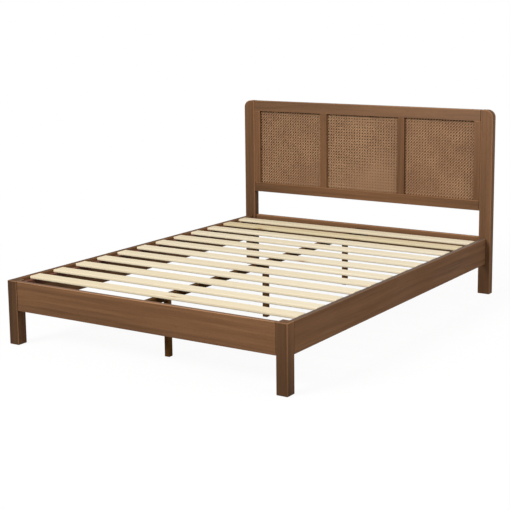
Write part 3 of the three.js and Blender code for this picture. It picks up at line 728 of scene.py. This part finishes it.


# Look of each walnut piece. low and high: tone and painted sheen at the low and high ends of its
# grain. The tone is partly the piece's own and partly painted light and shade, such as darker
# lower ends of the posts and a headboard lighter to the right. swell: painted light, how much
# lighter its middle is than both ends make it. lift: painted light, how much lighter its top is
# than its underside. facing: painted light and shade that faces along a direction add to these
# (tone at the low end, tone at the high end, painted sheen), such as darker tops of the side
# rails and lighter right sides of the foot posts. edge_wear_and_painted_light: how much lighter
# its rounded edges are, from wear and a painted highlight, 1 where nothing is said
# Tops of the foot posts lighter, with a little painted sheen: painted light
FOOT_POST_TOP = (0.15, 0.15, 0.02)
LOOKS = {
    "head_post_left": {"low": (-0.55, 0.0), "high": (-0.25, 0.005), "edge_wear_and_painted_light": 2.0},
    "head_post_right": {
        "low": (-0.31, 0.0), "high": (0.0, 0.02),
        "facing": {(1, 0, 0): (0.0, 0.10, 0.0)},
    },
    "headboard_top_rail": {"low": (-0.21, 0.012), "high": (0.0, 0.04)},
    "headboard_bottom_rail": {"low": (-0.45, 0.0), "high": (-0.27, 0.006), "swell": 0.29},
    "head_cross_rail": {"low": (-0.10, 0.0), "high": (-0.10, 0.0)},
    "headboard_stile_left": {"low": (-0.125, 0.0), "high": (-0.03, 0.006)},
    "headboard_stile_right": {"low": (-0.20, 0.0), "high": (0.01, 0.025)},
    "headboard_mullion_left": {"low": (-0.14, 0.0), "high": (-0.30, 0.005)},
    "headboard_mullion_right": {"low": (-0.30, 0.0), "high": (-0.20, 0.006)},
    "foot_rail": {
        "low": (-0.20, 0.0), "high": (-0.06, 0.0), "lift": 0.18,
        "facing": {(0, 0, 1): (-0.08, -0.08, 0.06)},
    },
    "foot_post_left": {
        "low": (-0.61, 0.0), "high": (-0.60, 0.0), "edge_wear_and_painted_light": 1.5,
        "facing": {(1, 0, 0): (0.36, 0.36, 0.0), (0, 0, 1): FOOT_POST_TOP},
    },
    "foot_post_right": {
        "low": (-0.60, 0.0), "high": (-0.45, 0.0),
        "facing": {(1, 0, 0): (0.04, 0.50, 0.0), (0, 0, 1): FOOT_POST_TOP},
    },
    "side_rail_left": {"facing": {(0, 0, 1): (-0.45, -0.45, 0.0)}},
    "side_rail_right": {
        "low": (0.0, 0.0), "high": (-0.04, 0.0),
        "facing": {(0, 0, 1): (-0.59, -0.59, 0.09)},
    },
}
# Tone of each slat: its own, and painted light and shade that evens out near and far slats
SLAT_TONES = (
    -0.07, -0.05, -0.06, -0.04, -0.05, -0.03, -0.04, -0.05, -0.03, -0.04, -0.165, -0.07,
)
SLAT_DRIFT = 0.02           # a slat's tone strays this far from its middle to each end

# Places taken from the frame
post_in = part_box("head_post_right")[0].x
post_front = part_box("head_post_right")[0].y
post_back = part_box("head_post_right")[1].y
cane_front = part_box("cane_panel_centre")[0].y
cane_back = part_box("cane_panel_centre")[1].y
groove_y = (cane_front - 2 * GAP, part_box("backing_board_centre")[1].y + GAP)
field_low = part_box("headboard_bottom_rail")[1].z
field_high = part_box("headboard_top_rail")[0].z
foot_post_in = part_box("foot_post_right")[0].x
rail_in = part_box("side_rail_right")[0].x
rail_middle = (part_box("side_rail_right")[0].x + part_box("side_rail_right")[1].x) / 2

# Headboard
for side in ("left", "right"):
    cutters = []
    for row in ("lower", "upper"):
        at = middle_of(f"head_bolt_{side}_{row}")
        stop = post_back + CUT_PAST
        cutters.append(bore(at, "y", post_front - CUT_PAST, stop, BOLT["radius"] + GAP))
        cutters.append(bore(at, "y", post_back - COUNTERBORE_DEPTH, stop,
                            BOLT["head_radius"] + COUNTERBORE_PLAY))
    head_post(side, cutters, LOOKS["head_post_" + side])

for node, grooved in (("headboard_top_rail", ("low",)), ("headboard_bottom_rail", ("high",)),
                      ("head_cross_rail", ())):
    low, high = (v.copy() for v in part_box(node))
    low.x, high.x = -post_in + GAP, post_in - GAP
    cutters = [groove(low, high, "z", end) for end in grooved]
    board(node, "x", EDGE_EASE, walnut, "walnut", LOOKS[node], (low, high), cutters,
          [{"axis": "x", "seams": ("high",)}])

for kind in ("stile", "mullion"):
    for side, inner, outer in (("left", "high", "low"), ("right", "low", "high")):
        node = f"headboard_{kind}_{side}"
        low, high = (v.copy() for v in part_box(node))
        low.z, high.z = field_low + GAP, field_high - GAP
        grooved = (inner,) if kind == "stile" else (outer, inner)
        cutters = [groove(low, high, "x", end) for end in grooved]
        # The ends of the stiles get a painted highlight on their rounding
        ends = [{"axis": "z", "wear_plus_painted_light": 2.0}] if kind == "stile" else []
        if node == "headboard_stile_right":
            ends.append({"axis": "x", "seams": ("high",), "wear_plus_painted_light": 1.0, "reach": STILE_SEAM_REACH})
        board(node, "z", THIN_EASE, walnut, "walnut", LOOKS[node], (low, high), cutters, ends)

# Foot rail and posts
low, high = (v.copy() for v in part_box("foot_rail"))
low.x, high.x = -foot_post_in + GAP, foot_post_in - GAP
board("foot_rail", "x", EDGE_EASE, walnut, "walnut", LOOKS["foot_rail"], (low, high),
      ends=[{"axis": "x", "seams": ("low",), "reach": FOOT_SEAM_REACH}])
for side in ("left", "right"):
    node = "foot_post_" + side
    board(node, "z", EDGE_EASE, walnut, "walnut", LOOKS[node])

# Side rails and ledgers
for side, sign in (("left", -1), ("right", 1)):
    cutters = []
    for row in ("lower", "upper"):
        node = f"barrel_nut_{side}_{row}"
        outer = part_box(node)[1 if sign > 0 else 0].x
        cutters.append(bore(middle_of(node), "x", sign * (rail_in - CUT_PAST), outer + sign * GAP,
                            BARREL_RADIUS + GAP))
    node = "side_rail_" + side
    board(node, "y", EDGE_EASE, walnut, "walnut", LOOKS[node], cutters=cutters,
          ends=[{"axis": "y", "seams": ("high",)}])
    board("slat_ledger_" + side, "y", THIN_EASE, ledger_wood, "walnut_inside")

# Slats
for index in range(SLATS):
    tone = SLAT_TONES[index]
    look = {"low": (tone - SLAT_DRIFT, 0.0), "high": (tone + SLAT_DRIFT, 0.0)}
    board(f"slat_{index + 1:02d}", "x", SLAT_EASE, slat_wood, "slat_wood", look)

# Centre beam and legs
beam_low, beam_top = (v.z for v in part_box("centre_beam"))
cutters = []
for place in ("foot", "middle", "head"):
    node = "centre_leg_bolt_" + place
    at = middle_of(node)
    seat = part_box(node)[1].z - LEG_BOLT["head_height"] - GAP
    for start, radius in ((beam_low - CUT_PAST, "radius"), (seat, "head_radius")):
        cutters.append(bore(at, "z", start, beam_top + CUT_PAST, LEG_BOLT[radius] + GAP))
board("centre_beam", "y", THIN_EASE, beam_wood, "dark_wood", cutters=cutters)
for place in ("foot", "middle", "head"):
    bolt = "centre_leg_bolt_" + place
    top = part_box("centre_leg_" + place)[1].z
    hole = bore(middle_of(bolt), "z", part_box(bolt)[0].z - GAP, top + CUT_PAST,
                LEG_BOLT["radius"] + GAP)
    board("centre_leg_" + place, "z", LEG_EASE, leg_wood, "dark_wood", cutters=[hole])


# Weaving the cane

class Strands:
    """Gathers the flat cane strands of one panel into one mesh."""

    def __init__(self):
        self.places = []
        self.faces = []
        self.grain = []
        self.tone = []

    def add(self, path, width, tone, lean=0.0):
        """path holds (x, z, rise) points; rise is towards the front of the headboard, and lean
        is its slope across the width."""
        points = np.array(path)
        if len(points) < 2:
            return
        ahead = np.gradient(points[:, :2], axis=0)
        ahead /= np.linalg.norm(ahead, axis=1)[:, None]
        side = np.stack([-ahead[:, 1], ahead[:, 0]], axis=1)
        steps = np.linalg.norm(np.diff(points[:, :2], axis=0), axis=1)
        run = np.concatenate([[0.0], np.cumsum(steps)]) + chance.uniform(0, STRAND_START)
        strand = chance.uniform(0, STRAND_START)
        first = len(self.places)
        for (x, z, rise), (sx, sz), along in zip(points, side, run):
            for u, v in STRAND_SECTION:
                across = u * width
                forward = rise + v * STRAND_THICKNESS + lean * across
                y = cane_back - WEAVE_DEPTH - forward
                self.places.append((x + sx * across, y, z + sz * across))
                self.grain.append((along, across, strand))
                # Painted light on the lowest row of each window
                self.tone.append(tone + (LAST_ROW_LIGHT if 0 < z - field_low < LAST_ROW else 0.0))
        n = len(STRAND_SECTION)
        for ring in range(len(points) - 1):
            a = first + ring * n
            for k in range(n):
                m = (k + 1) % n
                self.faces.append((a + k, a + m, a + n + m, a + n + k))
        last = first + (len(points) - 1) * n
        self.faces.append(tuple(first + k for k in reversed(range(n))))
        self.faces.append(tuple(last + k for k in range(n)))

    def piece(self, name):
        mesh = bpy.data.meshes.new(name)
        mesh.from_pydata(self.places, [], self.faces)
        bm = bmesh.new()
        bm.from_mesh(mesh)
        bmesh.ops.recalc_face_normals(bm, faces=bm.faces)
        bm.to_mesh(mesh)
        bm.free()
        mesh.materials.append(cane_skin)
        grain = mesh.attributes.new("grain", "FLOAT_VECTOR", "POINT")
        grain.data.foreach_set("vector", np.array(self.grain).ravel())
        shade = mesh.attributes.new("tone", "FLOAT", "POINT")
        shade.data.foreach_set("value", np.array(self.tone))
        mesh.shade_smooth()
        return add_object(name, mesh)


def whole_steps(low, high):
    return range(math.ceil(low), math.floor(high) + 1)


def crossing_path(start, end, half_pair, rises):
    """Stations along an upright or level strand with its rise at each crossing."""
    stations = [(start, 0.0)]
    for step in range(math.floor(start), math.ceil(end) + 1):
        for at, rise in ((step - half_pair, rises[0]), (step + half_pair, rises[1]),
                         (step + 0.5, 0.0)):
            if start < at < end:
                stations.append((at, rise * WEAVE_RISE))
    stations.append((end, 0.0))
    return stations


def weave(label):
    """Six-way cane weave: upright and level pairs, and a slanting strand each way between the
    holes."""
    low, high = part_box("cane_panel_" + label)
    mid_x = (low.x + high.x) / 2
    mid_z = (low.z + high.z) / 2

    # Lattice coordinates: pairs cross at whole numbers, holes lie half way between
    def x_of(u):
        return mid_x + (u - 0.5) * PITCH_X

    def z_of(v):
        return mid_z + (v - 0.5) * PITCH_Z

    u_low, u_high = (low.x - mid_x) / PITCH_X + 0.5, (high.x - mid_x) / PITCH_X + 0.5
    v_low, v_high = (low.z - mid_z) / PITCH_Z + 0.5, (high.z - mid_z) / PITCH_Z + 0.5
    half_pair_u = PAIR_SPACE / 2 / PITCH_X
    half_pair_v = PAIR_SPACE / 2 / PITCH_Z
    inset_u = STRAND_WIDTH / 2 / PITCH_X
    inset_v = STRAND_WIDTH / 2 / PITCH_Z
    panel = PANELS[label]
    strands = Strands()

    def add_square(path):
        tone = SQUARE_TONE + panel["tone"] + chance.uniform(-SQUARE_CHANCE, SQUARE_CHANCE)
        strands.add(path, STRAND_WIDTH, tone)

    for u in whole_steps(u_low + half_pair_u + inset_u, u_high - half_pair_u - inset_u):
        for sign, rises in ((-1, (-1, 1)), (1, (1, -1))):
            stations = crossing_path(v_low, v_high, half_pair_v, rises)
            add_square([(x_of(u + sign * half_pair_u), z_of(v), rise) for v, rise in stations])
    for v in whole_steps(v_low + half_pair_v + inset_v, v_high - half_pair_v - inset_v):
        for sign, rises in ((-1, (1, -1)), (1, (-1, 1))):
            stations = crossing_path(u_low, u_high, half_pair_u, rises)
            add_square([(x_of(u), z_of(v + sign * half_pair_v), rise) for u, rise in stations])

    # Slanting strands pass half way between the crossings: over uprights and under levels
    # one way, the other way round on the way back
    margin = DIAGONAL_WIDTH / PITCH_X
    for slope, slope_tone, lean in ((1, RISING_TONE, panel["lean"][0]),
                                    (-1, FALLING_TONE, panel["lean"][1])):
        for k in range(-DIAGONAL_LINES, DIAGONAL_LINES + 1):
            stations = []
            for half_step in range(math.floor(2 * u_low), math.ceil(2 * u_high) + 1):
                over = (half_step % 2 == 0) == (slope > 0)
                for at in (half_step / 2 - DIAGONAL_HOLD, half_step / 2 + DIAGONAL_HOLD):
                    v = slope * at + (k + 0.5)
                    inside_u = u_low + margin <= at <= u_high - margin
                    if inside_u and v_low + margin <= v <= v_high - margin:
                        stations.append((x_of(at), z_of(v), panel["rise"][0 if over else 1]))
            tone = slope_tone + panel["tone"] + chance.uniform(-DIAGONAL_CHANCE, DIAGONAL_CHANCE)
            strands.add(stations, DIAGONAL_WIDTH, tone, lean)
    settle(strands.piece("cane_weave_" + label), "cane", "cane_panel_" + label)


for label in PANELS:
    weave(label)
    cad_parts["backing_board_" + label].data.materials[0] = backing_wood[label]


# Making the steel hardware

def lathe(profile, sides=ROUND_SIDES):
    """Solid turned round the z axis from (radius, z) points, bottom to top."""
    bm = bmesh.new()
    rings = []
    for radius, z in profile:
        if radius == 0:
            rings.append([bm.verts.new((0, 0, z))])
            continue
        turn = [2 * math.pi * i / sides for i in range(sides)]
        rings.append([bm.verts.new((radius * math.cos(a), radius * math.sin(a), z)) for a in turn])
    for lower, upper in zip(rings, rings[1:]):
        for i in range(sides):
            j = (i + 1) % sides
            corners = [lower[i % len(lower)], lower[j % len(lower)],
                       upper[j % len(upper)], upper[i % len(upper)]]
            bm.faces.new(list(dict.fromkeys(corners)))
    return bm


def turned(bm, place, direction):
    bmesh.ops.transform(bm, matrix=Matrix.Translation(place) @ aimed(direction), verts=bm.verts)
    return bm


def smooth_steel(piece):
    piece.data.shade_smooth()
    piece.data.set_sharp_from_angle(angle=STEEL_SHARP)


def socket_bolt(node, axis, size):
    """Cap screw with a hex socket along y or z, with its head at the high end of the node."""
    low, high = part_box(node)
    top = middle_of(node)
    setattr(top, axis, getattr(high, axis))
    way = Vector([float(name == axis) for name in "xyz"])
    length = getattr(high, axis) - getattr(low, axis)
    radius, head, height = size["radius"], size["head_radius"], size["head_height"]
    chamfer = head * BOLT_CHAMFER
    profile = [
        (0, -length), (radius * 0.8, -length), (radius, -length + radius * 0.3), (radius, -height),
        (head - chamfer * 0.5, -height), (head, -height + chamfer * 0.5), (head, -chamfer),
        (head - chamfer * 0.35, -chamfer * 0.3), (head - chamfer, 0), (0, 0),
    ]
    piece = finish_mesh(node + "_turned", turned(lathe(profile), top, way), zinc)
    hexagon = cylinder(top - way * size["socket_depth"], top + way * CUT_PAST, size["socket"], 6)
    cut(piece, [hexagon])
    smooth_steel(piece)
    settle(piece, "steel", node)


for side in ("left", "right"):
    for row in ("lower", "upper"):
        socket_bolt(f"bracket_bolt_{side}_{row}", "y", BOLT)
        socket_bolt(f"head_bolt_{side}_{row}", "y", BOLT)
for place in ("foot", "middle", "head"):
    socket_bolt("centre_leg_bolt_" + place, "z", LEG_BOLT)

# Barrel nuts, with a screwdriver slot in the end that shows
for side, sign in (("left", -1), ("right", 1)):
    for row in ("lower", "upper"):
        node = f"barrel_nut_{side}_{row}"
        low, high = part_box(node)
        at = middle_of(node)
        length = high.x - low.x
        face = low.x if sign > 0 else high.x
        rim = BARREL_RADIUS * BARREL_RIM
        profile = [(0, -length), (BARREL_RADIUS - rim, -length), (BARREL_RADIUS, -length + rim),
                   (BARREL_RADIUS, -rim), (BARREL_RADIUS - rim, 0), (0, 0)]
        form = turned(lathe(profile), (face, at.y, at.z), (-sign, 0, 0))
        nut = finish_mesh(node + "_turned", form, zinc)
        x = sorted((face - sign * NUT_SLOT_PAST, face + sign * NUT_SLOT_DEPTH))
        slot = block((x[0], at.y - NUT_SLOT_WIDTH / 2, at.z - NUT_CUT_REACH),
                     (x[1], at.y + NUT_SLOT_WIDTH / 2, at.z + NUT_CUT_REACH))
        hole = bore((sign * rail_middle, at.y, at.z), "y", at.y - NUT_CUT_REACH,
                    at.y + NUT_CUT_REACH, BOLT["radius"] + GAP)
        cut(nut, [slot, hole])
        smooth_steel(nut)
        settle(nut, "steel", node)

for node, finish in (("corner_bracket_left", zinc), ("corner_bracket_right", zinc),
                     ("beam_hanger_foot", black_steel), ("beam_hanger_head", black_steel)):
    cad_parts[node].data.materials[0] = finish


def wood_screws(name, places, direction):
    """Countersunk cross-head screws in one piece. Each place is the middle of a head's rim."""
    whole = bmesh.new()
    for place in places:
        spin = chance.uniform(0, math.pi)
        part = finish_mesh("screw", lathe(SCREW_PROFILE, SCREW_SIDES), zinc)
        arms = []
        for turn in (0.0, math.pi / 2):
            arm = block((-CROSS_REACH, -CROSS_WIDTH / 2, -CROSS_DEPTH),
                        (CROSS_REACH, CROSS_WIDTH / 2, CROSS_TOP))
            bmesh.ops.rotate(arm, matrix=Matrix.Rotation(turn, 3, "Z"), verts=arm.verts)
            arms.append(arm)
        cut(part, arms)
        part.data.transform(Matrix.Rotation(spin, 4, "Z"))
        part.data.transform(Matrix.Translation(place) @ aimed(direction))
        whole.from_mesh(part.data)
        bpy.data.objects.remove(part)
    piece = finish_mesh(name, whole, zinc)
    smooth_steel(piece)
    settle(piece, "steel")


for side, sign in (("left", -1), ("right", 1)):
    low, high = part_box("slat_ledger_" + side)
    face = high.x if sign < 0 else low.x
    z = (low.z + high.z) / 2
    slats = [middle_of(f"slat_{1 + 2 * i:02d}") for i in range(LEDGER_SCREWS)]
    spots = [(face, slat.y + LEDGER_SCREW_SPACE, z) for slat in slats]
    wood_screws("ledger_screws_" + side, spots, (-sign, 0, 0))
    spot = (face + sign * END_SCREW_INSET, low.y + END_SCREW_PLACE, high.z)
    wood_screws("ledger_end_screw_" + side, [spot], (0, 0, 1))

    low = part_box("corner_bracket_" + side)[0]
    face = sign * (rail_in - GAP - BRACKET_STEEL)
    rows = [middle_of(f"bracket_bolt_{side}_{row}").z for row in ("lower", "upper")]
    spots = [(face, low.y + place, z) for place in BRACKET_SCREWS for z in rows]
    wood_screws("bracket_screws_" + side, spots, (-sign, 0, 0))

for place, way in (("foot", 1), ("head", -1)):
    low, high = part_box("beam_hanger_" + place)
    face = low.y + HANGER_STEEL if way > 0 else high.y - HANGER_STEEL
    reach = (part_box("centre_beam")[1].x + GAP + HANGER_STEEL + high.x) / 2
    rise = (high.z - low.z) / 4
    spots = [(x, face, z) for x in (-reach, reach) for z in (low.z + rise, high.z - rise)]
    wood_screws("hanger_screws_" + place, spots, (0, way, 0))


# Floor, lights and camera

def floor_material():
    """Pale floor. The camera and mirrors see it white, with the bed's soft shadow round the bed."""
    g = Graph(bpy.data.materials.new("studio_floor"))
    away = g.vector("LENGTH", g.vector("MULTIPLY", g.place(), SHADOW_SHAPE))
    share = g.spread(away, *SHADOW_FADE, SHADOW_SHARE, 0.0, interpolation_type="SMOOTHSTEP")
    glow = g.node("ShaderNodeEmission", {"Color": WHITE, "Strength": 1.0})
    white = g.choose(share, glow, g.node("ShaderNodeBsdfDiffuse", {"Color": FLOOR_COLOUR}))
    plain = g.node("ShaderNodeBsdfDiffuse", {"Color": FLOOR_BOUNCE})
    seen = g.seen(("Is Camera Ray", "Is Glossy Ray", "Is Transmission Ray"))
    return g.end(g.choose(seen, plain, white))


floor_mesh = bmesh.new()
bmesh.ops.create_grid(floor_mesh, x_segments=4, y_segments=4, size=FLOOR_REACH)
bmesh.ops.translate(floor_mesh, vec=(0, 0, -FLOOR_DROP), verts=floor_mesh.verts)
floor = finish_mesh("studio_floor", floor_mesh, floor_material())

# The world lights the bed softly, and is white where the camera sees it
g = Graph(bpy.data.worlds.new("studio"))
sky = g.node("ShaderNodeBackground", {"Color": SKY_COLOUR, "Strength": SKY_STRENGTH})
backdrop = g.node("ShaderNodeBackground", {"Color": WHITE, "Strength": 1.0})
seen = g.seen(("Is Camera Ray", "Is Transmission Ray"))
bpy.context.scene.world = g.end(g.choose(seen, sky, backdrop), "ShaderNodeOutputWorld")

for name, light in LIGHTS.items():
    data = bpy.data.lights.new(name, "AREA")
    data.shape = "DISK"
    data.size = light["size"]
    data.energy = light["power"]
    lamp = add_object(name, data)
    lamp.location = light["place"]
    way = Vector(light["target"]) - Vector(light["place"])
    lamp.rotation_euler = way.to_track_quat("-Z", "Y").to_euler()

camera_data = bpy.data.cameras.new("camera")
camera_data.sensor_width = CAMERA_SENSOR
camera_data.lens = CAMERA_LENS
camera_data.shift_x, camera_data.shift_y = CAMERA_SHIFT
camera = add_object("camera", camera_data)
camera.location = CAMERA_PLACE
aim = Euler((math.pi / 2 - CAMERA_PITCH, 0.0, CAMERA_YAW), "XYZ").to_matrix()
camera.rotation_euler = (aim @ Matrix.Rotation(CAMERA_ROLL, 3, "Z")).to_euler()
bpy.context.scene.camera = camera
bpy.context.scene.view_settings.view_transform = "Standard"
